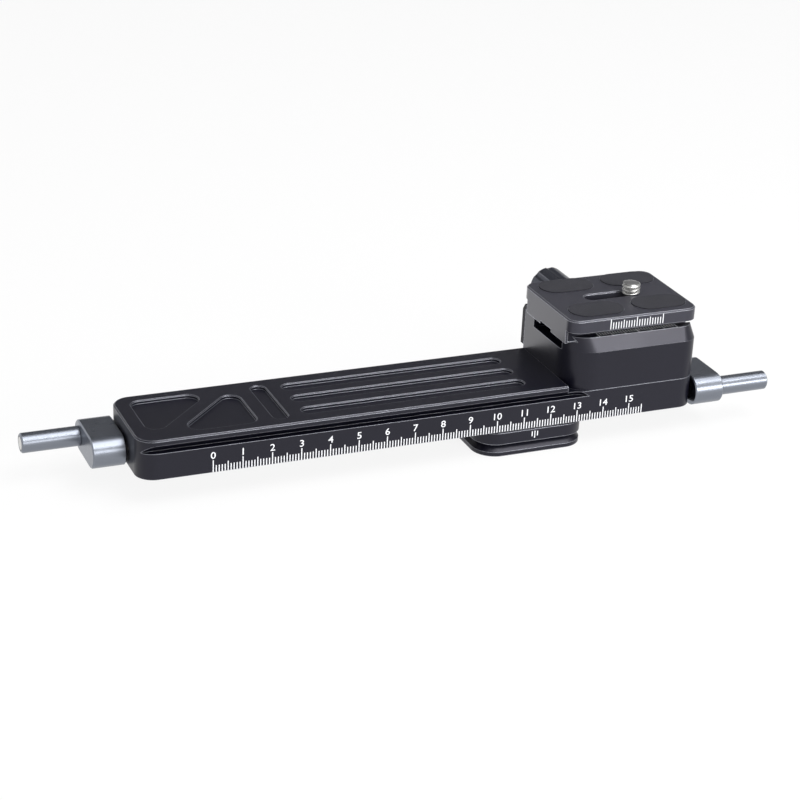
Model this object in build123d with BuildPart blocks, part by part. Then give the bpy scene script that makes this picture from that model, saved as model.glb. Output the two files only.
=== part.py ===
"""Macro focusing rail, with a screw-driven carriage below and a plate clamp on top.

Millimetres. +X runs along the rail towards the clamp, +Y points to the clamp
knob, +Z is up. The origin is the mouth of the tripod thread, in the middle of
the foot's underside.
"""

import os
from math import sqrt

from build123d import *

os.makedirs("parts", exist_ok=True)

# ---------------------------------------------------------------- driving sizes

# tripod foot: a dovetail plate under the carriage
foot_length = 40.0
foot_corner_radius = 8.0
foot_edge_height = 1.45
foot_flank = 1.9  # height and depth of the 45 degree dovetail flank
foot_neck_height = 1.0
foot_block_height = 4.5
foot_edge_chamfer = 0.4
tripod_thread_radius = 3.2
bushing_radius = 4.7
bushing_length = 6.5
bushing_slot_width = 1.2
bushing_slot_depth = 1.3
foot_screw_spacing_x = 19.0
foot_screw_spacing_y = 9.5
foot_screw_radius = 1.2
foot_screw_head_radius = 2.2
foot_screw_head_height = 1.4
foot_screw_grip = 4.0  # how far the foot screws reach into the slider

# rail: a bar, hollowed from below, that runs on the carriage
rail_length = 200.3
rail_width = 36.0
rail_height = 13.6
rest_place = 138.8  # from the rail's left end to the middle of the foot
left_corner_radius = 6.2
right_corner_radius = 6.0
top_chamfer = 0.5
channel_width = 27.0
channel_depth = 8.4
left_end_wall = 9.0
right_end_wall = 5.7
channel_corner_radius = 2.0
flank_groove_depth = 2.7
flank_groove_floor = 9.03  # height of the groove's flat wall above the rail's underside
flank_groove_end = 152.3  # from the left end to the middle of the cutter's run-out
cutter_radius = 8.7
deck_drop = 2.7  # how far the deck is lowered under the tower

# shallow pockets in the rail's deck
pocket_depth = 1.2
pocket_corner_radius = 3.5
pocket_margin = 4.5
rib_width = 5.5
slot_pocket_width = 5.0
slot_pocket_pitch = 9.7
slot_pocket_length = 80.0
corner_pocket_leg = 27.5
corner_pocket_start = 5.4  # from the rail's left end
pocket_chamfer = 0.35

# guide rods and lead screw
running_gap = 0.3  # between the rail's underside and the foot
screw_axis_height = 3.9  # above the rail's underside
screw_radius = 3.0
journal_radius = 2.0
rod_radius = 2.0
rod_spacing = 18.4
rod_seat_depth = 4.0
bush_wall = 1.2
shaft_clearance = 0.04
screw_tunnel_clearance = 0.25
seat_clearance = 0.02
end_play = 0.1

# slider inside the channel
slider_length = 28.0
slider_side_gap = 0.4
slider_roof_gap = 0.4
slider_bush_wall = 1.0
nut_length = 11.0
nut_width = 9.0
nut_height = 6.8

# cranks
arm_half_height = 5.3
arm_reach = 13.3
arm_thickness = 11.1
arm_chamfer = 0.4
arm_gap = 0.35  # between each arm and the rail's end
journal_grip = 8.0
grub_screw_radius = 1.5
grub_screw_length = 3.0
grub_hole_reach = 1.0  # how far the grub screw's hole passes the journal's surface
grip_radius = 3.33
grip_length = 19.2
grip_gap = 0.1
grip_tip_chamfer = 0.45
grip_pin_radius = 1.5
grip_pin_seat = 6.0
grip_pin_head_radius = 2.2
grip_pin_head_length = 1.5
grip_cup_clearance = 0.25
hex_socket_radius = 1.0
hex_socket_depth = 1.0

# clamp tower
tower_length = 50.0
tower_height = 18.9
tower_front_left_radius = 11.0
tower_front_right_radius = 6.0
band_height = 4.97
band_inset = 1.9
seat_drop = 1.7  # from the jaw's top to the seat of the plate
jaw_lip_edge = 5.0  # from the tower's front face to the lip's inner edge
relief_front = 8.0
relief_width = 21.0
relief_depth = 3.9
tower_screw_radius = 1.5
tower_screw_head_radius = 2.8
tower_screw_head_height = 1.5
tower_screw_grip = 7.0
tower_screw_spacing_x = 34.0
tower_screw_spacing_y = 23.0

# moving jaw and clamp knob
jaw_gap = 0.1
jaw_plate_thickness = 2.1
jaw_setback = 4.0  # of the jaw's right end from the tower's
jaw_height = 15.0
jaw_chamfer_height = 2.2
jaw_chamfer_depth = 1.5
clamp_axis_drop = 8.8  # from the jaw's top to the clamp screw's axis
clamp_axis_offset = 1.5  # from the tower's middle, away from its left face
clamp_screw_radius = 2.5
clamp_screw_grip = 26.0
clamp_hole_clearance = 0.3
clamp_screw_seat = 13.0  # how far the clamp screw reaches into the knob
guide_pin_radius = 2.0
guide_pin_margin = 3.5  # from the jaw's right end to the nearer guide pin's axis
guide_pin_grip = 12.0
hole_run_out = 1.0  # of the screw's and the pins' holes past their tips
washer_radius = 5.0
washer_thickness = 1.0
knob_hub_radius = 5.0
knob_hub_length = 7.0
knob_length = 26.0
knob_radius = 7.05
knob_lobes = 8
knob_flute_radius = 1.6
knob_flute_offset = 1.0
knob_chamfer = 0.6

# quick-release plate
plate_length = 48.8
plate_width = 38.4
plate_offset = 0.2  # of the plate's middle from the rail's middle, towards the knob
plate_overhang = 1.1  # of the plate past the tower's left face
plate_slab = 4.5
plate_corner_radius = 4.3
plate_chamfer = 0.5
base_height = 4.7
base_edge_height = 0.3
base_clearance = 0.1
neck_width = 23.8
base_tail = 1.2  # from the base's right end to the slab's
stop_wall_margin = 0.5
stop_wall_thickness = 1.0
key_groove_width = 8.3
key_groove_depth = 1.0
pad_length = 19.8
pad_width = 11.3
pad_spacing = 24.0
pad_column = 25.4  # from the plate's left end to the middle of the four pads
pad_row_front = -10.3
pad_row_back = 12.65
pad_thickness = 1.0
pad_stand = 0.3
pad_clearance = 0.08
slot_width = 5.0
slot_start = 17.2  # from the plate's left end to the middle of the slot's first end
slot_travel = 15.3
slot_offset = 0.4
slot_chamfer = 0.4
head_pocket_depth = 1.5  # measured from the slab's underside up into the slab

# camera screw
camera_thread_radius = 3.175
camera_thread_length = 3.8
camera_neck_radius = 2.3
camera_thread_gap = 0.15
camera_head_radius = 6.0
camera_head_height = 2.6
camera_screw_chamfer = 0.7
camera_washer_thickness = 0.6
head_pocket_clearance = 0.4
coin_slot_width = 1.6
coin_slot_depth = 1.1

# ---------------------------------------------------------------- derived places

foot_width = rail_width
foot_top = foot_edge_height + foot_flank + foot_neck_height + foot_block_height
rail_bottom = foot_top + running_gap
rail_top = rail_bottom + rail_height
rail_left = -rest_place
rail_right = rail_left + rail_length
rail_middle = (rail_left + rail_right) / 2
rail_front = -rail_width / 2
rail_back = rail_width / 2

channel_left = rail_left + left_end_wall
channel_right = rail_right - right_end_wall
channel_length = channel_right - channel_left
channel_middle = (channel_left + channel_right) / 2
channel_roof = rail_bottom + channel_depth
axis_z = rail_bottom + screw_axis_height

deck_z = rail_top - deck_drop
tower_left = rail_right - tower_length
tower_middle = rail_right - tower_length / 2
jaw_top = deck_z + tower_height
seat_z = jaw_top - seat_drop
band_z = jaw_top - band_height
clamp_z = jaw_top - clamp_axis_drop
jaw_face_y = rail_back + jaw_gap
jaw_back_y = jaw_face_y + jaw_plate_thickness
jaw_length = tower_length - jaw_setback

plate_left = tower_left - plate_overhang
plate_right = plate_left + plate_length
plate_middle = (plate_left + plate_right) / 2
plate_bottom = seat_z + base_clearance
slab_bottom = plate_bottom + base_height
plate_top = slab_bottom + plate_slab
lip_edge_y = rail_front + jaw_lip_edge
flank_foot_z = plate_bottom + base_edge_height
base_front_y = lip_edge_y - (jaw_top - flank_foot_z) + base_clearance
base_half_width = plate_offset - base_front_y
neck_z = flank_foot_z + base_half_width - neck_width / 2
head_pocket_roof = slab_bottom + head_pocket_depth
head_pocket_radius = camera_head_radius + head_pocket_clearance
slot_left = plate_left + slot_start
slot_right = slot_left + slot_travel
slot_y = plate_offset + slot_offset


# ---------------------------------------------------------------- tripod foot

foot_screw_places = GridLocations(foot_screw_spacing_x, foot_screw_spacing_y, 2, 2).locations

with BuildPart() as tripod_foot:
    # dovetail edge, flank, neck and block, one above the other
    with BuildSketch(Plane.XY):
        RectangleRounded(foot_length, foot_width, foot_corner_radius)
    extrude(amount=foot_edge_height)
    with BuildSketch(Plane.XY.offset(foot_edge_height)):
        RectangleRounded(foot_length, foot_width, foot_corner_radius)
    extrude(amount=foot_flank, taper=45)
    with BuildSketch(Plane.XY.offset(foot_edge_height + foot_flank)):
        RectangleRounded(
            foot_length - 2 * foot_flank,
            foot_width - 2 * foot_flank,
            foot_corner_radius - foot_flank,
        )
    extrude(amount=foot_neck_height)
    with BuildSketch(Plane.XY.offset(foot_top - foot_block_height)):
        RectangleRounded(foot_length, foot_width, foot_corner_radius)
    extrude(amount=foot_block_height)
    chamfer(tripod_foot.edges().group_by(Axis.Z)[-1], foot_edge_chamfer)
    # seat of the threaded bushing
    with BuildSketch(Plane.XY):
        Circle(bushing_radius + seat_clearance)
    extrude(amount=bushing_length, mode=Mode.SUBTRACT)
    # counterbored holes for the screws that hold the slider
    for place in foot_screw_places:
        with BuildSketch(Plane.XY):
            with Locations(place):
                Circle(foot_screw_head_radius + seat_clearance)
        extrude(amount=foot_screw_head_height + foot_edge_height, mode=Mode.SUBTRACT)
        with BuildSketch(Plane.XY):
            with Locations(place):
                Circle(foot_screw_radius + seat_clearance)
        extrude(amount=foot_top, mode=Mode.SUBTRACT)
tripod_foot.part.label = "tripod_foot"
export_step(tripod_foot.part, "parts/tripod_foot.step")

with BuildPart() as tripod_bushing:
    with BuildSketch(Plane.XY):
        Circle(bushing_radius)
        Circle(tripod_thread_radius, mode=Mode.SUBTRACT)
    extrude(amount=bushing_length)
    with BuildSketch(Plane.XY):
        Rectangle(2 * bushing_radius, bushing_slot_width)
    extrude(amount=bushing_slot_depth, mode=Mode.SUBTRACT)
tripod_bushing.part.label = "tripod_bushing"
export_step(tripod_bushing.part, "parts/tripod_bushing.step")

with BuildPart() as foot_screws:
    for place in foot_screw_places:
        with BuildSketch(Plane.XY.offset(foot_edge_height)):
            with Locations(place):
                Circle(foot_screw_head_radius)
        extrude(amount=foot_screw_head_height)
        with BuildSketch(Plane.XY.offset(foot_edge_height)):
            with Locations(place):
                RegularPolygon(hex_socket_radius, 6)
        extrude(amount=hex_socket_depth, mode=Mode.SUBTRACT)
        with BuildSketch(Plane.XY.offset(foot_edge_height + foot_screw_head_height)):
            with Locations(place):
                Circle(foot_screw_radius)
        extrude(amount=foot_top + foot_screw_grip - foot_edge_height - foot_screw_head_height)
foot_screws.part.label = "foot_screws"
export_step(foot_screws.part, "parts/foot_screws.step")

# ---------------------------------------------------------------- slider

slider_width = channel_width - 2 * slider_side_gap
slider_height = channel_depth + running_gap - slider_roof_gap
slider_bush_radius = rod_radius + shaft_clearance + slider_bush_wall
nut_bottom = axis_z - nut_height / 2
rod_ys = (-rod_spacing / 2, rod_spacing / 2)

with BuildPart() as slider_block:
    with BuildSketch(Plane.XY.offset(foot_top)):
        Rectangle(slider_length, slider_width)
    extrude(amount=slider_height)
    # tunnels for the two rods' bushes and for the lead screw
    with BuildSketch(Plane.YZ.offset(-slider_length / 2)):
        for y in rod_ys:
            with Locations((y, axis_z)):
                Circle(slider_bush_radius + seat_clearance)
        with Locations((0, axis_z)):
            Circle(screw_radius + screw_tunnel_clearance)
    extrude(amount=slider_length, mode=Mode.SUBTRACT)
    # pocket for the nut, open at the top
    with BuildSketch(Plane.XY.offset(nut_bottom - seat_clearance)):
        Rectangle(nut_length + 2 * seat_clearance, nut_width + 2 * seat_clearance)
    extrude(amount=channel_depth, mode=Mode.SUBTRACT)
    # threaded holes for the foot's screws
    for place in foot_screw_places:
        with BuildSketch(Plane.XY.offset(foot_top)):
            with Locations(place):
                Circle(foot_screw_radius + seat_clearance)
        extrude(amount=foot_screw_grip + seat_clearance, mode=Mode.SUBTRACT)
slider_block.part.label = "slider_block"
export_step(slider_block.part, "parts/slider_block.step")

with BuildPart() as slider_bushes:
    with BuildSketch(Plane.YZ):
        for y in rod_ys:
            with Locations((y, axis_z)):
                Circle(slider_bush_radius)
                Circle(rod_radius + shaft_clearance, mode=Mode.SUBTRACT)
    extrude(amount=slider_length / 2, both=True)
slider_bushes.part.label = "slider_bushes"
export_step(slider_bushes.part, "parts/slider_bushes.step")

with BuildPart() as drive_nut:
    with BuildSketch(Plane.YZ.offset(-nut_length / 2)):
        with Locations((0, axis_z)):
            Rectangle(nut_width, nut_height)
            Circle(screw_radius + shaft_clearance, mode=Mode.SUBTRACT)
    extrude(amount=nut_length)
drive_nut.part.label = "drive_nut"
export_step(drive_nut.part, "parts/drive_nut.step")

# ---------------------------------------------------------------- rail body

bush_radius = journal_radius + shaft_clearance + bush_wall
tower_screw_places = GridLocations(tower_screw_spacing_x, tower_screw_spacing_y, 2, 2).locations
pocket_back_y = rail_back - pocket_margin
pocket_front_y = rail_front + pocket_margin
corner_x = rail_left + corner_pocket_start
# the second triangle's right edge, one slanted rib away from the first triangle
corner_right = corner_x + 2 * corner_pocket_leg - (pocket_back_y - pocket_front_y) + rib_width * sqrt(2)
cross_pocket_x = corner_right + rib_width + slot_pocket_width / 2
slot_pocket_left = cross_pocket_x + slot_pocket_width / 2 + rib_width
groove_floor_z = rail_bottom + flank_groove_floor
groove_end_x = rail_left + flank_groove_end

with BuildPart() as rail_body:
    with BuildSketch(Plane.XY.offset(rail_bottom)) as rail_plan:
        with Locations((rail_middle, 0)):
            Rectangle(rail_length, rail_width)
        fillet(rail_plan.vertices().group_by(Axis.X)[0], left_corner_radius)
        fillet(rail_plan.vertices().group_by(Axis.X)[-1], right_corner_radius)
    extrude(amount=rail_height)
    chamfer(rail_body.edges().group_by(Axis.Z)[-1], top_chamfer)
    # the lowered deck that the tower stands on
    with BuildSketch(Plane.XY.offset(deck_z)):
        with Locations((tower_middle, 0)):
            Rectangle(tower_length, rail_width)
    extrude(amount=deck_drop, mode=Mode.SUBTRACT)
    # dovetail grooves along both flanks, open at the left end
    for side in (-1, 1):
        with BuildSketch(Plane.YZ.offset(rail_left)):
            with BuildLine():
                Polyline(
                    (side * rail_width / 2, groove_floor_z),
                    (side * (rail_width / 2 - flank_groove_depth), groove_floor_z),
                    (side * rail_width / 2, groove_floor_z + flank_groove_depth),
                    close=True,
                )
            make_face()
        extrude(amount=flank_groove_end, mode=Mode.SUBTRACT)
        # where the round cutter left the groove
        with BuildSketch(Plane.XY.offset(groove_floor_z)):
            with Locations((groove_end_x, side * (rail_width / 2 - flank_groove_depth + cutter_radius))):
                Circle(cutter_radius)
        extrude(amount=flank_groove_depth, taper=45, mode=Mode.SUBTRACT)
    # channel for the slider, open below
    with BuildSketch(Plane.XY.offset(rail_bottom)):
        with Locations((channel_middle, 0)):
            RectangleRounded(channel_length, channel_width, channel_corner_radius)
    extrude(amount=channel_depth, mode=Mode.SUBTRACT)
    # blind seats of the guide rods in the end walls
    with BuildSketch(Plane.YZ.offset(channel_left - rod_seat_depth)):
        with GridLocations(rod_spacing, 0, 2, 1):
            with Locations((0, axis_z)):
                Circle(rod_radius + seat_clearance)
    extrude(amount=channel_length + 2 * rod_seat_depth, mode=Mode.SUBTRACT)
    # through seats of the two bearing bushes
    with BuildSketch(Plane.YZ.offset(rail_left)):
        with Locations((0, axis_z)):
            Circle(bush_radius + seat_clearance)
    extrude(amount=rail_length, mode=Mode.SUBTRACT)
    # counterbored holes for the screws that hold the tower
    with BuildSketch(Plane.XY.offset(channel_roof)):
        with Locations((tower_middle, 0)):
            with GridLocations(tower_screw_spacing_x, tower_screw_spacing_y, 2, 2):
                Circle(tower_screw_radius + seat_clearance)
    extrude(amount=deck_z - channel_roof, mode=Mode.SUBTRACT)
    with BuildSketch(Plane.XY.offset(channel_roof)):
        with Locations((tower_middle, 0)):
            with GridLocations(tower_screw_spacing_x, tower_screw_spacing_y, 2, 2):
                Circle(tower_screw_head_radius + seat_clearance)
    extrude(amount=tower_screw_head_height, mode=Mode.SUBTRACT)
    # shallow pockets in the deck: two triangles, a cross slot and three long slots
    with BuildSketch(Plane.XY.offset(rail_top)) as left_pocket:
        Polygon(
            (corner_x, pocket_back_y),
            (corner_x, pocket_back_y - corner_pocket_leg),
            (corner_x + corner_pocket_leg, pocket_back_y),
            align=None,
        )
        fillet(left_pocket.vertices(), pocket_corner_radius)
    extrude(amount=-pocket_depth, mode=Mode.SUBTRACT)
    with BuildSketch(Plane.XY.offset(rail_top)) as right_pocket:
        Polygon(
            (corner_right, pocket_front_y),
            (corner_right, pocket_front_y + corner_pocket_leg),
            (corner_right - corner_pocket_leg, pocket_front_y),
            align=None,
        )
        fillet(right_pocket.vertices(), pocket_corner_radius)
    extrude(amount=-pocket_depth, mode=Mode.SUBTRACT)
    with BuildSketch(Plane.XY.offset(rail_top)):
        with Locations((cross_pocket_x, 0)):
            SlotOverall(pocket_back_y - pocket_front_y, slot_pocket_width, rotation=90)
        with Locations((slot_pocket_left + slot_pocket_length / 2, 0)):
            with GridLocations(0, slot_pocket_pitch, 1, 3):
                SlotOverall(slot_pocket_length, slot_pocket_width)
    extrude(amount=-pocket_depth, mode=Mode.SUBTRACT)
    # a fine chamfer round every pocket's mouth
    deck = rail_body.faces().filter_by(Axis.Z).group_by(Axis.Z)[-1][0]
    mouths = [edge for wire in deck.inner_wires() for edge in wire.edges()]
    chamfer(mouths, pocket_chamfer)
rail_body.part.label = "rail_body"
export_step(rail_body.part, "parts/rail_body.step")

# ---------------------------------------------------------------- rods, bushes and screws in the rail

for name, y in (("guide_rod_front", -rod_spacing / 2), ("guide_rod_back", rod_spacing / 2)):
    with BuildPart() as guide_rod:
        with BuildSketch(Plane.YZ.offset(channel_left - rod_seat_depth)):
            with Locations((y, axis_z)):
                Circle(rod_radius)
        extrude(amount=channel_length + 2 * rod_seat_depth)
    guide_rod.part.label = name
    export_step(guide_rod.part, f"parts/{name}.step")

bush_places = (
    ("bearing_bush_left", rail_left, 1, left_end_wall),
    ("bearing_bush_right", rail_right, -1, right_end_wall),
)
for name, end_x, inward, wall in bush_places:
    with BuildPart() as bush:
        with BuildSketch(Plane.YZ.offset(end_x)):
            with Locations((0, axis_z)):
                Circle(bush_radius)
                Circle(journal_radius + shaft_clearance, mode=Mode.SUBTRACT)
        extrude(amount=inward * wall)
    bush.part.label = name
    export_step(bush.part, f"parts/{name}.step")

with BuildPart() as tower_screws:
    head_z = channel_roof
    shank_z = head_z + tower_screw_head_height
    with BuildSketch(Plane.XY.offset(head_z)):
        with Locations((tower_middle, 0)):
            with GridLocations(tower_screw_spacing_x, tower_screw_spacing_y, 2, 2):
                Circle(tower_screw_head_radius)
                RegularPolygon(hex_socket_radius, 6, mode=Mode.SUBTRACT)
    extrude(amount=hex_socket_depth)
    with BuildSketch(Plane.XY.offset(head_z + hex_socket_depth)):
        with Locations((tower_middle, 0)):
            with GridLocations(tower_screw_spacing_x, tower_screw_spacing_y, 2, 2):
                Circle(tower_screw_head_radius)
    extrude(amount=tower_screw_head_height - hex_socket_depth)
    with BuildSketch(Plane.XY.offset(shank_z)):
        with Locations((tower_middle, 0)):
            with GridLocations(tower_screw_spacing_x, tower_screw_spacing_y, 2, 2):
                Circle(tower_screw_radius)
    extrude(amount=deck_z + tower_screw_grip - shank_z)
tower_screws.part.label = "tower_screws"
export_step(tower_screws.part, "parts/tower_screws.step")

# ---------------------------------------------------------------- lead screw and cranks

left_arm_x = rail_left - arm_gap
right_arm_x = rail_right + arm_gap

with BuildPart() as lead_screw:
    with BuildSketch(Plane.YZ.offset(channel_left + end_play)):
        with Locations((0, axis_z)):
            Circle(screw_radius)
    extrude(amount=channel_length - 2 * end_play)
    with BuildSketch(Plane.YZ.offset(left_arm_x - journal_grip)):
        with Locations((0, axis_z)):
            Circle(journal_radius)
    extrude(amount=right_arm_x - left_arm_x + 2 * journal_grip)
lead_screw.part.label = "lead_screw"
export_step(lead_screw.part, "parts/lead_screw.step")

# name, inner face, direction away from the rail, direction of the arm's reach
cranks = (
    ("left", left_arm_x, -1, 1),
    ("right", right_arm_x, 1, -1),
)
for name, inner_x, outward, reach in cranks:
    outer_x = inner_x + outward * arm_thickness
    grip_y = reach * arm_reach
    with BuildPart() as crank_arm:
        with BuildSketch(Plane.YZ.offset(inner_x)):
            with Locations((grip_y / 2, axis_z)):
                SlotCenterToCenter(arm_reach, 2 * arm_half_height)
        extrude(amount=outward * arm_thickness)
        chamfer(crank_arm.edges().group_by(Axis.X)[0], arm_chamfer)
        chamfer(crank_arm.edges().group_by(Axis.X)[-1], arm_chamfer)
        # blind bore for the screw's journal, and the grub screw's hole from below
        with BuildSketch(Plane.YZ.offset(inner_x)):
            with Locations((0, axis_z)):
                Circle(journal_radius + seat_clearance)
        extrude(amount=outward * (journal_grip + seat_clearance), mode=Mode.SUBTRACT)
        with BuildSketch(Plane.XY.offset(axis_z - arm_half_height)):
            with Locations((inner_x + outward * journal_grip / 2, 0)):
                Circle(grub_screw_radius + seat_clearance)
        extrude(amount=arm_half_height - journal_radius + grub_hole_reach, mode=Mode.SUBTRACT)
        # threaded hole for the grip's pin
        with BuildSketch(Plane.YZ.offset(outer_x)):
            with Locations((grip_y, axis_z)):
                Circle(grip_pin_radius + seat_clearance)
        extrude(amount=-outward * (grip_pin_seat + seat_clearance), mode=Mode.SUBTRACT)
    crank_arm.part.label = f"crank_arm_{name}"
    export_step(crank_arm.part, f"parts/crank_arm_{name}.step")

    # turned grip with a cup in the tip for the pin's head
    base_x = outer_x + outward * grip_gap
    with BuildPart() as crank_grip:
        with BuildSketch(Plane.YZ.offset(base_x)):
            with Locations((grip_y, axis_z)):
                Circle(grip_radius)
        extrude(amount=outward * grip_length)
        rims = crank_grip.edges().filter_by(GeomType.CIRCLE)
        tip_rim = rims.sort_by_distance((base_x + outward * grip_length, grip_y, axis_z))[0]
        chamfer(tip_rim, grip_tip_chamfer)
        with BuildSketch(Plane.YZ.offset(base_x)):
            with Locations((grip_y, axis_z)):
                Circle(grip_pin_radius + shaft_clearance)
        extrude(amount=outward * grip_length, mode=Mode.SUBTRACT)
        with BuildSketch(Plane.YZ.offset(base_x + outward * grip_length)):
            with Locations((grip_y, axis_z)):
                Circle(grip_pin_head_radius + grip_cup_clearance)
        extrude(amount=-outward * (grip_pin_head_length + shaft_clearance), mode=Mode.SUBTRACT)
    crank_grip.part.label = f"crank_grip_{name}"
    export_step(crank_grip.part, f"parts/crank_grip_{name}.step")

    tip_x = base_x + outward * grip_length
    with BuildPart() as grip_pin:
        with BuildSketch(Plane.YZ.offset(outer_x - outward * grip_pin_seat)):
            with Locations((grip_y, axis_z)):
                Circle(grip_pin_radius)
        extrude(amount=outward * (grip_pin_seat + grip_gap + grip_length - grip_pin_head_length))
        with BuildSketch(Plane.YZ.offset(tip_x)):
            with Locations((grip_y, axis_z)):
                Circle(grip_pin_head_radius)
        extrude(amount=-outward * grip_pin_head_length)
    grip_pin.part.label = f"grip_pin_{name}"
    export_step(grip_pin.part, f"parts/grip_pin_{name}.step")

with BuildPart() as crank_grub_screws:
    for name, inner_x, outward, reach in cranks:
        with BuildSketch(Plane.XY.offset(axis_z - journal_radius)):
            with Locations((inner_x + outward * journal_grip / 2, 0)):
                Circle(grub_screw_radius)
        extrude(amount=-grub_screw_length)
        with BuildSketch(Plane.XY.offset(axis_z - journal_radius - grub_screw_length)):
            with Locations((inner_x + outward * journal_grip / 2, 0)):
                RegularPolygon(hex_socket_radius, 6)
        extrude(amount=hex_socket_depth, mode=Mode.SUBTRACT)
crank_grub_screws.part.label = "crank_grub_screws"
export_step(crank_grub_screws.part, "parts/crank_grub_screws.step")

# ---------------------------------------------------------------- clamp tower

clamp_x = tower_middle + clamp_axis_offset
guide_pin_spacing = 2 * (tower_left + jaw_length - guide_pin_margin - clamp_x)

with BuildPart() as clamp_tower:
    with BuildSketch(Plane.XY.offset(deck_z)) as tower_plan:
        with Locations((tower_middle, 0)):
            Rectangle(tower_length, rail_width)
        front = tower_plan.vertices().group_by(Axis.Y)[0].sort_by(Axis.X)
        fillet(front[0], tower_front_left_radius)
        back = tower_plan.vertices().group_by(Axis.X)[-1].sort_by(Axis.Y)[-1]
        fillet(back, right_corner_radius)
        front = tower_plan.vertices().sort_by_distance((rail_right, rail_front, 0))[0]
        fillet(front, tower_front_right_radius)
    extrude(amount=band_z - deck_z)
    # the band under the jaw leans inwards at the front and on the right
    for height, inset in ((band_z, 0), (jaw_top, band_inset)):
        with BuildSketch(Plane.XY.offset(height)) as band_plan:
            with Locations((tower_middle - inset / 2, inset / 2)):
                Rectangle(tower_length - inset, rail_width - inset)
            band_front = rail_front + inset
            band_right = rail_right - inset
            corner = band_plan.vertices().sort_by_distance((tower_left, band_front, 0))[0]
            fillet(corner, tower_front_left_radius - inset)
            corner = band_plan.vertices().sort_by_distance((band_right, band_front, 0))[0]
            fillet(corner, tower_front_right_radius - inset)
            corner = band_plan.vertices().sort_by_distance((band_right, rail_back, 0))[0]
            fillet(corner, right_corner_radius - inset)
    loft(ruled=True)
    # the seat and the fixed jaw's undercut lip
    with BuildSketch(Plane.YZ.offset(tower_left)):
        with BuildLine():
            Polyline(
                (lip_edge_y, jaw_top),
                (lip_edge_y - seat_drop, seat_z),
                (rail_back, seat_z),
                (rail_back, jaw_top),
                close=True,
            )
        make_face()
    extrude(amount=tower_length, mode=Mode.SUBTRACT)
    # relief along the seat
    with BuildSketch(Plane.YZ.offset(tower_left)):
        with Locations((rail_front + relief_front + relief_width / 2, seat_z - relief_depth / 2)):
            Rectangle(relief_width, relief_depth)
    extrude(amount=tower_length, mode=Mode.SUBTRACT)
    # the clamp screw's hole and the guide pins' holes, from the back
    with BuildSketch(Plane.XZ.offset(-rail_back)):
        with Locations((clamp_x, clamp_z)):
            Circle(clamp_screw_radius + shaft_clearance)
    extrude(amount=clamp_screw_grip + hole_run_out, mode=Mode.SUBTRACT)
    with BuildSketch(Plane.XZ.offset(-rail_back)):
        with Locations((clamp_x, clamp_z)):
            with GridLocations(guide_pin_spacing, 0, 2, 1):
                Circle(guide_pin_radius + shaft_clearance)
    extrude(amount=guide_pin_grip + hole_run_out, mode=Mode.SUBTRACT)
    # threaded holes for the screws from below
    with BuildSketch(Plane.XY.offset(deck_z)):
        with Locations((tower_middle, 0)):
            with GridLocations(tower_screw_spacing_x, tower_screw_spacing_y, 2, 2):
                Circle(tower_screw_radius + seat_clearance)
    extrude(amount=tower_screw_grip + seat_clearance, mode=Mode.SUBTRACT)
clamp_tower.part.label = "clamp_tower"
export_step(clamp_tower.part, "parts/clamp_tower.step")

# ---------------------------------------------------------------- moving jaw

jaw_low_z = jaw_top - jaw_height
jaw_shelf_z = seat_z + jaw_gap
back_lip_y = 2 * plate_offset - lip_edge_y

with BuildPart() as moving_jaw:
    with BuildSketch(Plane.YZ.offset(tower_left)):
        with BuildLine():
            Polyline(
                (back_lip_y, jaw_top),
                (back_lip_y + jaw_top - jaw_shelf_z, jaw_shelf_z),
                (jaw_face_y, jaw_shelf_z),
                (jaw_face_y, jaw_low_z),
                (jaw_back_y, jaw_low_z),
                (jaw_back_y, jaw_top - jaw_chamfer_height),
                (jaw_back_y - jaw_chamfer_depth, jaw_top),
                close=True,
            )
        make_face()
    extrude(amount=jaw_length)
    with BuildSketch(Plane.XZ.offset(-jaw_back_y)):
        with Locations((clamp_x, clamp_z)):
            Circle(clamp_screw_radius + clamp_hole_clearance)
            with GridLocations(guide_pin_spacing, 0, 2, 1):
                Circle(guide_pin_radius + seat_clearance)
    extrude(amount=jaw_plate_thickness, mode=Mode.SUBTRACT)
moving_jaw.part.label = "moving_jaw"
export_step(moving_jaw.part, "parts/moving_jaw.step")

with BuildPart() as jaw_guide_pins:
    with BuildSketch(Plane.XZ.offset(-jaw_back_y)):
        with Locations((clamp_x, clamp_z)):
            with GridLocations(guide_pin_spacing, 0, 2, 1):
                Circle(guide_pin_radius)
    extrude(amount=jaw_plate_thickness + jaw_gap + guide_pin_grip)
jaw_guide_pins.part.label = "jaw_guide_pins"
export_step(jaw_guide_pins.part, "parts/jaw_guide_pins.step")

# ---------------------------------------------------------------- clamp knob

washer_y = jaw_back_y + seat_clearance
hub_y = washer_y + washer_thickness + seat_clearance
knob_y = hub_y + knob_hub_length
knob_end_y = knob_y + knob_length

with BuildPart() as knob_washer:
    with BuildSketch(Plane.XZ.offset(-washer_y)):
        with Locations((clamp_x, clamp_z)):
            Circle(washer_radius)
            Circle(clamp_screw_radius + clamp_hole_clearance, mode=Mode.SUBTRACT)
    extrude(amount=-washer_thickness)
knob_washer.part.label = "knob_washer"
export_step(knob_washer.part, "parts/knob_washer.step")

with BuildPart() as clamp_screw:
    with BuildSketch(Plane.XZ.offset(-(rail_back - clamp_screw_grip))):
        with Locations((clamp_x, clamp_z)):
            Circle(clamp_screw_radius)
    extrude(amount=-(hub_y + clamp_screw_seat - rail_back + clamp_screw_grip))
clamp_screw.part.label = "clamp_screw"
export_step(clamp_screw.part, "parts/clamp_screw.step")

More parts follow.
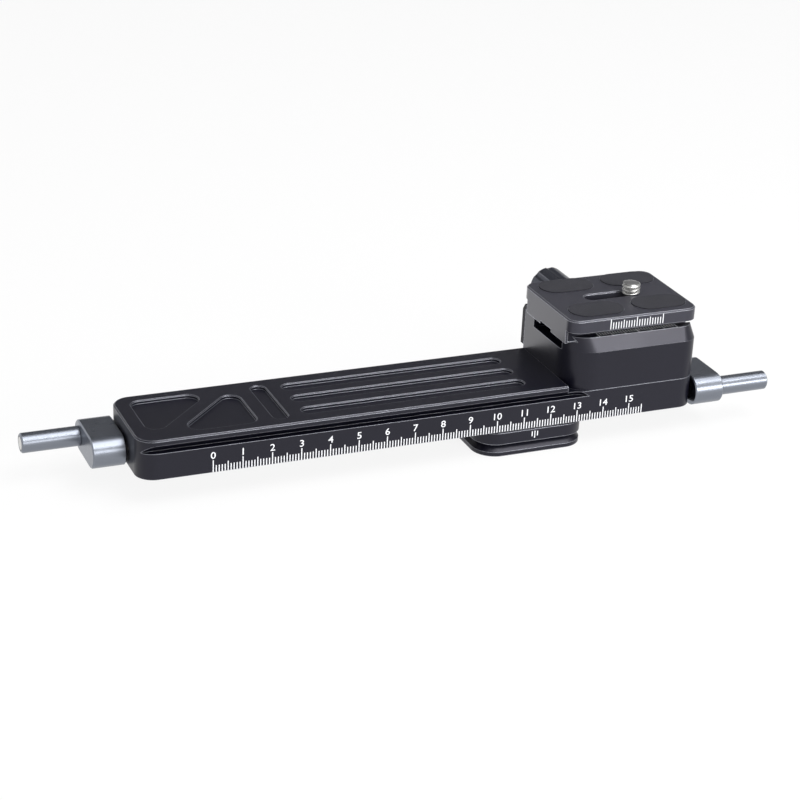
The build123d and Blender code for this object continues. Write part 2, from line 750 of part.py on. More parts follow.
with BuildPart() as clamp_knob:
    with BuildSketch(Plane.XZ.offset(-knob_y)):
        with Locations((clamp_x, clamp_z)):
            Circle(knob_radius)
    extrude(amount=-knob_length)
    chamfer(clamp_knob.edges().group_by(Axis.Y)[-1], knob_chamfer)
    with BuildSketch(Plane.XZ.offset(-knob_y)):
        with Locations((clamp_x, clamp_z)):
            with PolarLocations(knob_radius + knob_flute_offset, knob_lobes):
                Circle(knob_flute_radius)
    extrude(amount=-knob_length, mode=Mode.SUBTRACT)
    with BuildSketch(Plane.XZ.offset(-hub_y)):
        with Locations((clamp_x, clamp_z)):
            Circle(knob_hub_radius)
    extrude(amount=-knob_hub_length)
    with BuildSketch(Plane.XZ.offset(-hub_y)):
        with Locations((clamp_x, clamp_z)):
            Circle(clamp_screw_radius + seat_clearance)
    extrude(amount=-(clamp_screw_seat + seat_clearance), mode=Mode.SUBTRACT)
clamp_knob.part.label = "clamp_knob"
export_step(clamp_knob.part, "parts/clamp_knob.step")

# ---------------------------------------------------------------- quick-release plate

pad_x = plate_left + pad_column
pad_places = [
    (pad_x + side * pad_spacing / 2, plate_offset + row)
    for side in (-1, 1)
    for row in (pad_row_front, pad_row_back)
]
pad_seat = pad_thickness - pad_stand
neck_half = neck_width / 2

with BuildPart() as quick_release_plate:
    with BuildSketch(Plane.XY.offset(slab_bottom)):
        with Locations((plate_middle, plate_offset)):
            RectangleRounded(plate_length, plate_width, plate_corner_radius)
    extrude(amount=plate_slab)
    chamfer(quick_release_plate.edges().group_by(Axis.Z)[-1], plate_chamfer)
    # dovetail base with its neck
    with BuildSketch(Plane.YZ.offset(plate_left)):
        with BuildLine():
            Polyline(
                (plate_offset - base_half_width, plate_bottom),
                (plate_offset - base_half_width, flank_foot_z),
                (plate_offset - neck_half, neck_z),
                (plate_offset - neck_half, slab_bottom),
                (plate_offset + neck_half, slab_bottom),
                (plate_offset + neck_half, neck_z),
                (plate_offset + base_half_width, flank_foot_z),
                (plate_offset + base_half_width, plate_bottom),
                close=True,
            )
        make_face()
    extrude(amount=plate_length - base_tail)
    # end wall that stops the plate against the jaws
    with BuildSketch(Plane.YZ.offset(plate_left)):
        with Locations((plate_offset, (plate_bottom + plate_top - plate_chamfer) / 2)):
            Rectangle(
                2 * (base_half_width + stop_wall_margin),
                plate_top - plate_chamfer - plate_bottom,
            )
    extrude(amount=stop_wall_thickness)
    # key groove along the underside
    with BuildSketch(Plane.YZ.offset(plate_left)):
        with Locations((plate_offset, plate_bottom + key_groove_depth / 2)):
            Rectangle(key_groove_width, key_groove_depth)
    extrude(amount=plate_length, mode=Mode.SUBTRACT)
    # pocket for the camera screw's head, and the slot that its neck slides in
    with BuildSketch(Plane.XY.offset(plate_bottom)):
        with Locations(((slot_left + slot_right) / 2, slot_y)):
            SlotCenterToCenter(slot_travel, 2 * head_pocket_radius)
    extrude(amount=head_pocket_roof - plate_bottom, mode=Mode.SUBTRACT)
    with BuildSketch(Plane.XY.offset(head_pocket_roof)):
        with Locations(((slot_left + slot_right) / 2, slot_y)):
            SlotCenterToCenter(slot_travel, slot_width)
    extrude(amount=plate_top - head_pocket_roof, mode=Mode.SUBTRACT)
    top_face = quick_release_plate.faces().filter_by(Axis.Z).sort_by(Axis.Z)[-1]
    chamfer([edge for wire in top_face.inner_wires() for edge in wire.edges()], slot_chamfer)
    # seats of the rubber pads
    with BuildSketch(Plane.XY.offset(plate_top)):
        with Locations(*pad_places):
            SlotOverall(pad_length + 2 * pad_clearance, pad_width + 2 * pad_clearance)
    extrude(amount=-pad_seat, mode=Mode.SUBTRACT)
quick_release_plate.part.label = "quick_release_plate"
export_step(quick_release_plate.part, "parts/quick_release_plate.step")

with BuildPart() as plate_pads:
    with BuildSketch(Plane.XY.offset(plate_top - pad_seat)):
        with Locations(*pad_places):
            SlotOverall(pad_length, pad_width)
    extrude(amount=pad_thickness)
plate_pads.part.label = "plate_pads"
export_step(plate_pads.part, "parts/plate_pads.step")

# ---------------------------------------------------------------- camera screw

washer_top = head_pocket_roof - shaft_clearance
washer_bottom = washer_top - camera_washer_thickness
head_top = washer_bottom - shaft_clearance
thread_z = plate_top + camera_thread_gap

with BuildPart() as camera_washer:
    with BuildSketch(Plane.XY.offset(washer_bottom)):
        with Locations((slot_right, slot_y)):
            Circle(camera_head_radius)
            Circle(camera_neck_radius + shaft_clearance, mode=Mode.SUBTRACT)
    extrude(amount=camera_washer_thickness)
camera_washer.part.label = "camera_washer"
export_step(camera_washer.part, "parts/camera_washer.step")

with BuildPart() as camera_screw:
    with BuildSketch(Plane.XY.offset(thread_z)):
        with Locations((slot_right, slot_y)):
            Circle(camera_thread_radius)
    extrude(amount=camera_thread_length)
    chamfer(camera_screw.edges().group_by(Axis.Z)[-1], camera_screw_chamfer)
    with BuildSketch(Plane.XY.offset(head_top)):
        with Locations((slot_right, slot_y)):
            Circle(camera_neck_radius)
    extrude(amount=thread_z - head_top)
    with BuildSketch(Plane.XY.offset(head_top)):
        with Locations((slot_right, slot_y)):
            Circle(camera_head_radius)
    extrude(amount=-camera_head_height)
    with BuildSketch(Plane.XY.offset(head_top - camera_head_height)):
        with Locations((slot_right, slot_y)):
            Rectangle(coin_slot_width, 2 * camera_head_radius)
    extrude(amount=coin_slot_depth, mode=Mode.SUBTRACT)
camera_screw.part.label = "camera_screw"
export_step(camera_screw.part, "parts/camera_screw.step")
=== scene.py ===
# %% [markdown]
# # Dressing a macro focusing rail for its picture
#
# A focusing rail is almost all machined aluminium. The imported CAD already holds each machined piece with
# its pockets and chamfers, so this script keeps those meshes and gives them their finishes. It adds what a
# machinist or a printer adds last: threads, the engraved scales, and the light of a small photo studio.

import math

import bmesh
import bpy
from mathutils import Matrix, Vector


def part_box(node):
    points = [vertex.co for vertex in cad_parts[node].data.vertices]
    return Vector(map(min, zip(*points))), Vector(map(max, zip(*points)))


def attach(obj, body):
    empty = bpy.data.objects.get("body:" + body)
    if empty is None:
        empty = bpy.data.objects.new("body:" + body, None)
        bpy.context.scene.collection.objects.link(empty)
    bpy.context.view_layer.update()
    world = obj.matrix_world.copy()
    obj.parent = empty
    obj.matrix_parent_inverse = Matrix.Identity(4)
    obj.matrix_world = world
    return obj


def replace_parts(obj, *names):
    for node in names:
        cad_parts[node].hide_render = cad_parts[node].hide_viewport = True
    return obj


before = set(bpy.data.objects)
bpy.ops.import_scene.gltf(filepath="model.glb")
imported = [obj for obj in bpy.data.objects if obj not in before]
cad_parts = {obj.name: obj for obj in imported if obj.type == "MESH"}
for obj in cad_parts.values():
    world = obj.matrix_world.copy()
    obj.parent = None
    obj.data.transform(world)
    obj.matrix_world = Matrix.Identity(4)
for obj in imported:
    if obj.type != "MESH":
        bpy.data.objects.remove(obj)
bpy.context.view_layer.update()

# %% [markdown]
# ## Shader arithmetic
#
# A finish is mostly small sums: a little of this noise, minus that mask. Wiring each sum by hand hides the
# idea, so a small class wraps a socket and lets Python's own signs add the Math nodes. One method makes
# every other node: its settings come first, then the values or links of its sockets.

# %% Sockets that take part in sums
class Level:
    """A number that varies over a surface; arithmetic on it adds Math nodes."""

    def __init__(self, finish, socket):
        self.finish = finish
        self.socket = socket

    def _math(self, operation, *values):
        return self.finish.node("ShaderNodeMath", {"operation": operation}, dict(enumerate(values)))

    def __add__(self, other):
        return self._math("ADD", self, other)

    def __sub__(self, other):
        return self._math("SUBTRACT", self, other)

    def __rsub__(self, other):
        return self._math("SUBTRACT", other, self)

    def __mul__(self, other):
        return self._math("MULTIPLY", self, other)

    __radd__ = __add__


# %% A finish and its one way of making nodes
class Finish:
    """A node material for one of the rail's finishes."""

    def __init__(self, name, constants):
        self.material = bpy.data.materials.new(name)
        self.material.use_nodes = True
        self.nodes = self.material.node_tree.nodes
        self.links = self.material.node_tree.links
        self.shader = self.nodes["Principled BSDF"]
        self.feed(self.shader, constants)

    def feed(self, target, values):
        for key, value in values.items():
            if isinstance(value, Level):
                self.links.new(value.socket, target.inputs[key])
            else:
                target.inputs[key].default_value = value

    def node(self, kind, settings, values, output=0):
        made = self.nodes.new(kind)
        for key, value in settings.items():
            setattr(made, key, value)
        self.feed(made, values)
        return Level(self, made.outputs[output])

    def place(self):
        return self.node("ShaderNodeTexCoord", {}, {}, "Object")

    def stretched(self, factors):
        return self.node("ShaderNodeMapping", {}, {"Vector": self.place(), "Scale": factors})

    def noise(self, size, detail=2.0, where=None):
        values = {"Vector": where or self.place(), "Scale": 1 / size, "Detail": detail}
        return self.node("ShaderNodeTexNoise", {}, values, "Fac")

    def blend(self, amount, low, high):
        values = {"Factor": amount, 6: low, 7: high}
        return self.node("ShaderNodeMix", {"data_type": "RGBA"}, values, 2)

    def clamped(self, value, low, high, floor, ceiling):
        values = {"Value": value, "From Min": low, "From Max": high, "To Min": floor, "To Max": ceiling}
        return self.node("ShaderNodeMapRange", {}, values)

    def bump(self, height, depth, normal=None):
        values = {"Height": height, "Distance": depth, "Strength": 1.0}
        if normal:
            values["Normal"] = normal
        return self.node("ShaderNodeBump", {}, values, "Normal")


# %% [markdown]
# ## Soft edges
#
# A milled edge is never a perfect corner: deburring leaves a radius of about a tenth of a millimetre, and
# that thin band catches the light. Bevelling every CAD mesh would change it, so the shader's Bevel node
# rounds the normals instead. Where its normal leaves the face's own, the point lies on an edge, and the
# same difference also tells where handling has rubbed the dye thin.

# %% Rounded normals and a mask for edges
worn_starts, worn_full = 0.003, 0.06
deburred = 0.00012


def rounded(finish, radius):
    return finish.node("ShaderNodeBevel", {"samples": 6}, {"Radius": radius}, "Normal")


def edge_mask(finish, radius):
    """Near 1 within the radius of an edge, and 0 on a face."""
    face = finish.node("ShaderNodeNewGeometry", {}, {}, "Normal")
    values = {0: face, 1: rounded(finish, radius)}
    alike = finish.node("ShaderNodeVectorMath", {"operation": "DOT_PRODUCT"}, values, "Value")
    return finish.clamped(1 - alike, worn_starts, worn_full, 0.0, 1.0)


# %% [markdown]
# ## Black anodised aluminium
#
# The bar, tower, foot and plate are bead-blasted and dyed blue-black. The dye sits in a clear oxide layer,
# so the surface behaves like a dark dielectric with a satin gloss, not like bare metal. A fine grain comes
# from the blasting, and slow drifts of tone and gloss from the dye bath and from hands.

# %% The black finish, in the tones of each group of pieces
oxide_tint = (0.9, 0.89, 1.0, 1)


def anodised_black(name, dye, worn, gloss, specular):
    shine = {"Specular IOR Level": specular, "IOR": 1.5, "Specular Tint": oxide_tint}
    finish = Finish(name, shine)
    drift = finish.noise(0.028, 3.0)
    blast = finish.noise(0.00022, 2.0)
    edges = edge_mask(finish, 0.0003)
    tone = finish.blend(finish.clamped(drift, 0.3, 0.7, 0.0, 1.0), [c * 0.86 for c in dye[:3]] + [1], dye)
    colour = finish.blend(edges * 0.9, tone, worn)
    rough = gloss + (drift - 0.5) * 0.09 + (blast - 0.5) * 0.06
    normal = finish.bump(blast, 0.0000035, rounded(finish, deburred))
    skin = {"Base Color": colour, "Metallic": edges * 0.85, "Roughness": rough, "Normal": normal}
    finish.feed(finish.shader, skin)
    return finish.material


black_bar = anodised_black(
    "black_anodised_bar", (0.004, 0.004, 0.009, 1), (0.34, 0.35, 0.39, 1), 0.33, 0.40
)
black_plate = anodised_black(
    "black_anodised_plate", (0.032, 0.032, 0.042, 1), (0.44, 0.45, 0.49, 1), 0.34, 0.40
)
black_jaw = anodised_black(
    "black_anodised_jaw", (0.003, 0.003, 0.005, 1), (0.04, 0.04, 0.048, 1), 0.55, 0.15
)
print("Black finishes:", black_bar.name, black_plate.name, black_jaw.name)

# %% [markdown]
# ## Titanium-grey anodised cranks and grips
#
# The two cranks and their grips are a lighter grey that still looks like metal. The arms are milled, so
# their marks run along the cut; the grips are turned, so theirs run round the axis. Both are fine lines of
# noise squeezed along one direction.

# %% The grey finishes
def anodised_grey(name, stretch, base, gloss):
    finish = Finish(name, {"Metallic": 1.0})
    marks = finish.noise(0.00035, 3.0, finish.stretched(stretch))
    drift = finish.noise(0.012, 2.0)
    edges = edge_mask(finish, 0.0002)
    light = [min(1.0, c * 1.25) for c in base[:3]] + [1]
    shade = finish.blend(marks * 0.35 + drift * 0.35, [c * 0.88 for c in base[:3]] + [1], base)
    colour = finish.blend(edges * 0.6, shade, light)
    rough = gloss + (marks - 0.5) * 0.12 + (drift - 0.5) * 0.06
    normal = finish.bump(marks, 0.000004, rounded(finish, deburred))
    finish.feed(finish.shader, {"Base Color": colour, "Roughness": rough, "Normal": normal})
    return finish.material


titanium_grey = (0.235, 0.252, 0.29, 1)
grey_turned = anodised_grey("titanium_anodised_turned", (1.0, 0.03, 0.03), titanium_grey, 0.30)
grey_milled = anodised_grey("titanium_anodised_milled", (0.08, 1.0, 1.0), titanium_grey, 0.30)
print("Grey finishes:", grey_turned.name, grey_milled.name)

# %% [markdown]
# ## The clamp knob, steel, brass and the dark small parts
#
# The knob's dye is as dark as the bar's, but its fluted flanks are bright-cut and reflect more. Screws and
# rods are plain steel, the bushes and the nut are turned brass, and the rest is black oxide and nylon. They
# share one recipe: a base colour, a gloss, and marks that run one way.

# %% One recipe for the turned and drawn parts
def turned(name, base, metallic, gloss, stretch, mark_size=0.0003, depth=0.000003):
    finish = Finish(name, {"Metallic": metallic})
    marks = finish.noise(mark_size, 2.0, finish.stretched(stretch))
    drift = finish.noise(0.006, 2.0)
    colour = finish.blend(marks * 0.4 + drift * 0.3, [c * 0.8 for c in base[:3]] + [1], base)
    rough = gloss + (marks - 0.5) * 0.1 + (drift - 0.5) * 0.05
    normal = finish.bump(marks, depth, rounded(finish, 0.0001))
    finish.feed(finish.shader, {"Base Color": colour, "Roughness": rough, "Normal": normal})
    return finish.material


round_x = (1.0, 0.05, 0.05)
round_y = (0.05, 1.0, 0.05)
round_z = (0.05, 0.05, 1.0)
knob_black = turned("knob_anodised_flutes", (0.06, 0.064, 0.082, 1), 0.75, 0.3, round_y)
steel_rod = turned("steel_ground", (0.62, 0.61, 0.59, 1), 1.0, 0.2, round_x)
steel_screw = turned("steel_cut_thread", (0.64, 0.635, 0.62, 1), 1.0, 0.22, round_z)
steel_pin = turned("steel_pin", (0.6, 0.59, 0.57, 1), 1.0, 0.22, round_y)
brass_turned = turned("brass_turned", (0.72, 0.53, 0.25, 1), 1.0, 0.28, round_x)
black_oxide = turned("black_oxide", (0.045, 0.045, 0.048, 1), 0.6, 0.38, round_z)
black_nylon = turned("black_nylon", (0.04, 0.04, 0.042, 1), 0.0, 0.5, round_y)

# %% [markdown]
# ## Rubber pads
#
# Four pads of near-black rubber keep the camera from turning. Their surface is a fine grain that scatters
# light, so they look flat and dull beside the metal, without its sheen.

# %% The rubber finish
def pad_rubber():
    finish = Finish("rubber_pad_grain", {"Metallic": 0.0, "Specular IOR Level": 0.2, "Sheen Weight": 0.05})
    grain = finish.noise(0.00035, 2.0)
    patch = finish.noise(0.006, 2.0)
    colour = finish.blend(grain * 0.5 + patch * 0.4, (0.011, 0.011, 0.015, 1), (0.032, 0.032, 0.041, 1))
    normal = finish.bump(grain, 0.00007, rounded(finish, 0.0002))
    rough = 0.78 + (grain - 0.5) * 0.15
    finish.feed(finish.shader, {"Base Color": colour, "Roughness": rough, "Normal": normal})
    return finish.material


rubber = pad_rubber()

# %% [markdown]
# ## White scale ink
#
# The scales are laser-engraved and filled, so their white is dull and slightly uneven, and it never shines.

# %% The ink
def scale_ink():
    finish = Finish("scale_ink_white", {"Metallic": 0.0, "Specular IOR Level": 0.3, "Roughness": 0.7})
    speck = finish.noise(0.0004, 2.0)
    colour = finish.blend(speck, (0.78, 0.79, 0.82, 1), (0.92, 0.93, 0.95, 1))
    finish.feed(finish.shader, {"Base Color": colour})
    return finish.material


ink = scale_ink()

# %% [markdown]
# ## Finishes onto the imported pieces
#
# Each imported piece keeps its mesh, and only its material slots change. The table below follows the way the
# rail is made: what is milled, what is turned, and round which axis.

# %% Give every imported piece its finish
finish_of = {
    black_bar: ("rail_body", "clamp_tower", "tripod_foot", "slider_block"),
    black_plate: ("quick_release_plate",),
    black_jaw: ("moving_jaw",),
    grey_milled: ("crank_arm_left", "crank_arm_right"),
    grey_turned: ("crank_grip_left", "crank_grip_right"),
    knob_black: ("clamp_knob",),
    steel_rod: ("guide_rod_front", "guide_rod_back", "grip_pin_left", "grip_pin_right"),
    steel_screw: ("tripod_bushing", "camera_washer"),
    steel_pin: ("jaw_guide_pins", "clamp_screw"),
    brass_turned: ("bearing_bush_left", "bearing_bush_right", "slider_bushes", "drive_nut"),
    black_oxide: ("tower_screws", "crank_grub_screws", "foot_screws"),
    black_nylon: ("knob_washer",),
    rubber: ("plate_pads",),
}
for material, nodes in finish_of.items():
    for node in nodes:
        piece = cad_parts[node]
        for place in piece.material_slots:
            place.link = "OBJECT"
            place.material = material
        print(node, "->", material.name, len(piece.material_slots))

# %% [markdown]
# ## Pieces from bmesh
#
# Every added piece ends the same way: its bmesh becomes a mesh at the origin, with its finish, and it rides
# on the CAD body that carries it. Sizes below are in millimetres, as on a drawing, and a single scale turns
# them into metres when a piece is finished.

# %% From bmesh to a riding piece
MM = 0.001


def finished(name, shape, material, body):
    bmesh.ops.scale(shape, vec=(MM, MM, MM), verts=shape.verts)
    mesh = bpy.data.meshes.new(name)
    shape.to_mesh(mesh)
    shape.free()
    mesh.materials.append(material)
    piece = bpy.data.objects.new(name, mesh)
    bpy.context.scene.collection.objects.link(piece)
    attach(piece, body)
    print(name, "faces", len(mesh.polygons), "on", body)
    return piece


# %% [markdown]
# ## Threads
#
# A thread is one tooth dragged round the axis while it climbs by the pitch. The spin operator does this when
# it is given an offset for each step. Neighbouring turns share their edge, so doubles are merged, and the
# ragged ends are cut square and filled.

# %% A threaded length along +Z, and turned shapes
def thread(shape, outer, root, pitch, low, high, steps=24):
    start = low - pitch
    tooth = [(root, 0.0), (outer, 0.36), (outer, 0.5), (root, 0.86), (root, 1.0)]
    ring = [shape.verts.new((r, 0, start + share * pitch)) for r, share in tooth]
    edges = [shape.edges.new(pair) for pair in zip(ring, ring[1:])]
    turns = math.ceil((high - start) / pitch) + 1
    bmesh.ops.spin(
        shape, geom=ring + edges, cent=(0, 0, 0), axis=(0, 0, 1), dvec=(0, 0, pitch / steps),
        angle=2 * math.pi * turns, steps=steps * turns, use_merge=False, use_duplicate=False,
    )
    bmesh.ops.remove_doubles(shape, verts=shape.verts, dist=pitch / 400)
    for height, up in ((low, -1), (high, 1)):
        everything = shape.verts[:] + shape.edges[:] + shape.faces[:]
        cut = bmesh.ops.bisect_plane(
            shape, geom=everything, plane_co=(0, 0, height), plane_no=(0, 0, up), clear_outer=True, dist=1e-5
        )
        rim = [e for e in cut["geom_cut"] if isinstance(e, bmesh.types.BMEdge)]
        bmesh.ops.holes_fill(shape, edges=rim, sides=0)


def turned_shape(shape, profile, steps=40):
    """Spins a closed (radius, height) outline that starts and ends on the axis."""
    ring = [shape.verts.new((r, 0, z)) for r, z in profile]
    edges = [shape.edges.new(pair) for pair in zip(ring, ring[1:])]
    bmesh.ops.spin(
        shape, geom=ring + edges, cent=(0, 0, 0), axis=(0, 0, 1), angle=2 * math.pi,
        steps=steps, use_merge=True,
    )
    bmesh.ops.remove_doubles(shape, verts=shape.verts, dist=1e-4)


def outward(shape):
    bmesh.ops.recalc_face_normals(shape, faces=shape.faces)


# %% [markdown]
# ## The camera screw
#
# A quarter-inch screw with twenty threads an inch stands in the plate's slot: a cut thread above, a plain
# neck in the slot, and a flat head with a coin slot below. The head is one disc over two D-shaped halves,
# each made by cutting a disc beside the slot.

# %% Camera screw sizes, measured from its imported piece
low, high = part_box("camera_screw")
stud_x = (low[0] + high[0]) / 2 / MM
stud_y = (low[1] + high[1]) / 2 / MM
stud_bottom = low[2] / MM
stud_top = high[2] / MM
head_radius = (high[0] - low[0]) / 2 / MM
stud_radius = 3.175
thread_root = 2.55
thread_pitch = 1.27
thread_length = 3.8
dome_height = 0.35
stud_base = stud_top - thread_length
neck_radius = 2.3
head_top = stud_bottom + 2.6
coin_depth = 1.1
coin_half_width = 0.8
head_chamfer = 0.25
print("Camera screw axis", round(stud_x, 3), round(stud_y, 3))
print("Camera screw from", round(stud_bottom, 2), "to", round(stud_top, 2))


# %% Build the camera screw
def half_disc(shape, radius, low_z, high_z, side):
    """A D-shaped slab: a disc cut beside the coin slot."""
    before = set(shape.verts)
    depth = high_z - low_z
    middle = Matrix.Translation((0, 0, low_z + depth / 2))
    bmesh.ops.create_cone(
        shape, cap_ends=True, segments=48, radius1=radius, radius2=radius, depth=depth, matrix=middle
    )
    verts = [v for v in shape.verts if v not in before]
    faces = {f for v in verts for f in v.link_faces}
    edges = {e for v in verts for e in v.link_edges}
    cut = bmesh.ops.bisect_plane(
        shape, geom=verts + list(edges) + list(faces), plane_co=(side * coin_half_width, 0, 0),
        plane_no=(side, 0, 0), clear_inner=True, dist=1e-5,
    )
    rim = [e for e in cut["geom_cut"] if isinstance(e, bmesh.types.BMEdge)]
    bmesh.ops.holes_fill(shape, edges=rim, sides=0)


def camera_stud():
    shape = bmesh.new()
    thread_end = stud_top - dome_height
    thread(shape, stud_radius, thread_root, thread_pitch, stud_base, thread_end)
    tip = [
        (0, thread_end), (thread_root + 0.2, thread_end), (thread_root - 0.1, stud_top - 0.2),
        (thread_root - 0.7, stud_top - 0.08), (thread_root - 1.6, stud_top - 0.01), (0, stud_top),
    ]
    turned_shape(shape, tip)
    shoulder = stud_bottom + coin_depth
    neck = [
        (0, shoulder), (head_radius, shoulder), (head_radius, head_top - head_chamfer),
        (head_radius - head_chamfer, head_top), (neck_radius, head_top), (neck_radius, stud_base),
        (0, stud_base),
    ]
    turned_shape(shape, neck, 48)
    for side in (-1, 1):
        half_disc(shape, head_radius, stud_bottom, shoulder, side)
    outward(shape)
    bmesh.ops.translate(shape, vec=(stud_x, stud_y, 0), verts=shape.verts)
    return finished("camera_stud", shape, steel_screw, "plate_screw")


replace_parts(camera_stud(), "camera_screw")

# %% [markdown]
# ## The lead screw
#
# Seen from below, a fine screw runs the whole length of the channel. Its lead of 1.25 mm a turn is what
# makes the rail a focusing rail, so its thread is cut in full. It is made standing, then laid along X.

# %% Build the lead screw
low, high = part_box("lead_screw")
journal_left, journal_right = low[0] / MM, high[0] / MM
screw_z = (low[2] + high[2]) / 2 / MM
screw_radius = (high[2] - low[2]) / 2 / MM
bush_left, bush_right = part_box("bearing_bush_left"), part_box("bearing_bush_right")
thread_left = bush_left[1][0] / MM + 0.1
thread_right = bush_right[0][0] / MM - 0.1
journal_radius = 2.0
lead = 1.25
tooth_height = 0.6
run_out = 0.6
corner = 0.2


def focusing_screw():
    shape = bmesh.new()
    root = screw_radius - tooth_height
    collar = screw_radius - corner
    cut_left, cut_right = thread_left + run_out, thread_right - run_out
    thread(shape, screw_radius, root, lead, cut_left, cut_right, 16)
    core = [
        (0, journal_left), (journal_radius - corner, journal_left),
        (journal_radius, journal_left + corner), (journal_radius, thread_left),
        (collar, thread_left), (collar, cut_left), (root, cut_left), (root, cut_right),
        (collar, cut_right), (collar, thread_right), (journal_radius, thread_right),
        (journal_radius, journal_right - corner), (journal_radius - corner, journal_right),
        (0, journal_right),
    ]
    turned_shape(shape, core, 24)
    outward(shape)
    lay_down = Matrix.Rotation(math.radians(90), 3, "Y")
    bmesh.ops.rotate(shape, cent=(0, 0, 0), matrix=lay_down, verts=shape.verts)
    bmesh.ops.translate(shape, vec=(0, 0, screw_z), verts=shape.verts)
    return finished("focusing_screw", shape, steel_rod, "screw")


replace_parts(focusing_screw(), "lead_screw")

# %% [markdown]
# ## Engraved scales
#
# The scales are what the photograph shows most sharply: a 155 mm rule along the bar's front, three index
# marks on the foot, and two short rules at the clamp. A mark is a very thin box that sits half in the
# metal, so it is closed from every side and hides no chamfer. Long marks stand at the whole centimetres.

# %% Marks as thin boxes, numbers as text
proud = 0.03
digit_depth = 0.01
digit_boldness = 0.004
digit_widening = 1.10


def mark(shape, low_corner, high_corner):
    size = [abs(b - a) for a, b in zip(low_corner, high_corner)]
    centre = [(a + b) / 2 for a, b in zip(low_corner, high_corner)]
    place = Matrix.Translation(centre) @ Matrix.Diagonal(size + [1])
    bmesh.ops.create_cube(shape, size=1.0, matrix=place)


def number(shape, text, x, front, low_z, high_z):
    """Stands a printed number on a face that looks along -Y, centred on x."""
    curve = bpy.data.curves.new("digits", "FONT")
    curve.body = text
    curve.align_x = "CENTER"
    curve.resolution_u = 3
    curve.offset = digit_boldness
    curve.extrude = digit_depth
    maker = bpy.data.objects.new("digits", curve)
    mesh = bpy.data.meshes.new_from_object(maker)
    ys = [v.co.y for v in mesh.vertices]
    xs = [v.co.x for v in mesh.vertices]
    size = (high_z - low_z) / (max(ys) - min(ys))
    shift = Matrix.Translation((-(max(xs) + min(xs)) / 2, -min(ys), 0))
    grow = Matrix.Diagonal((size * digit_widening, size, proud / digit_depth, 1))
    stand = Matrix.Translation((x, front, low_z)) @ Matrix.Rotation(math.radians(90), 4, "X")
    mesh.transform(stand @ grow @ shift)
    shape.from_mesh(mesh)
    bpy.data.objects.remove(maker)
    bpy.data.curves.remove(curve)
    bpy.data.meshes.remove(mesh)


# %% The rule along the bar
rail_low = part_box("rail_body")[0]
rail_front = rail_low[1] / MM
rail_foot = rail_low[2] / MM
rule_start = -114.5
rule_marks = 156
mark_width = 0.34
mark_heights = {10: 4.25, 5: 3.35, 1: 2.45}
number_low, number_high = 13.95, 16.35
mark_foot = rail_foot + 0.05


def bar_rule():
    shape = bmesh.new()
    for step in range(rule_marks):
        tall = mark_heights[10 if step % 10 == 0 else 5 if step % 5 == 0 else 1]
        x = rule_start + step
        mark(shape, (x - mark_width / 2, rail_front - proud, mark_foot),
             (x + mark_width / 2, rail_front + proud, rail_foot + tall))
    return finished("bar_rule_marks", shape, ink, "rail")


def bar_numbers():
    shape = bmesh.new()
    for centimetre in range(rule_marks // 10 + 1):
        x = rule_start + 10 * centimetre
        number(shape, str(centimetre), x, rail_front, number_low, number_high)
    return finished("bar_rule_numbers", shape, ink, "rail")


bar_rule()
bar_numbers()

# %% The index on the foot, and the two rules at the clamp
foot_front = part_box("tripod_foot")[0][1] / MM
tower_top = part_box("clamp_tower")[1][2] / MM
plate_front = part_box("quick_release_plate")[0][1] / MM
index_x = -0.1
index_marks = ((-1.0, 5.95, 7.75), (0.0, 5.25, 7.95), (1.0, 5.95, 7.75))
jaw_centre = 38.0
jaw_mark_back = -13.15
jaw_mark_long, jaw_mark_short = -16.0, -15.0
plate_centre = 35.1
plate_mark_width = 0.3
plate_mark_foot = 42.5
plate_mark_tops = {10: 46.0, 5: 45.45, 1: 44.95}


def foot_index():
    shape = bmesh.new()
    for x, low_z, high_z in index_marks:
        mark(shape, (index_x + x - mark_width / 2, foot_front - proud, low_z),
             (index_x + x + mark_width / 2, foot_front + proud, high_z))
    return finished("foot_index_marks", shape, ink, "carriage")


def jaw_rule():
    shape = bmesh.new()
    for step in range(-15, 16):
        width = 0.55 if step == 0 else 0.36
        reach = jaw_mark_long if step % 5 == 0 else jaw_mark_short
        x = jaw_centre + step
        mark(shape, (x - width / 2, reach, tower_top - proud),
             (x + width / 2, jaw_mark_back, tower_top + proud))
    return finished("jaw_rule_marks", shape, ink, "rail")


def plate_rule():
    shape = bmesh.new()
    half = plate_mark_width / 2
    for step in range(-10, 11):
        top = plate_mark_tops[10 if step % 10 == 0 else 5 if step % 5 == 0 else 1]
        x = plate_centre + step
        mark(shape, (x - half, plate_front - proud, plate_mark_foot),
             (x + half, plate_front + proud, top))
    return finished("plate_rule_marks", shape, ink, "plate")


foot_index()
jaw_rule()
plate_rule()

# %% [markdown]
# ## The studio
#
# Black metal shows the room more than itself. The table is white and the room is bright all round, but a
# grey card stands behind and above, where the bar's top mirrors it, so the top stays dark. A broad softbox
# above gives the level, and a narrow strip in front of it draws the long highlight on the round cranks and
# grips. A low softbox in front is mirrored by the clamp's sloping band, a lower one fills the front, and a
# lamp on the table behind gives the left-hand faces their grey. None of them shows in the camera's view.

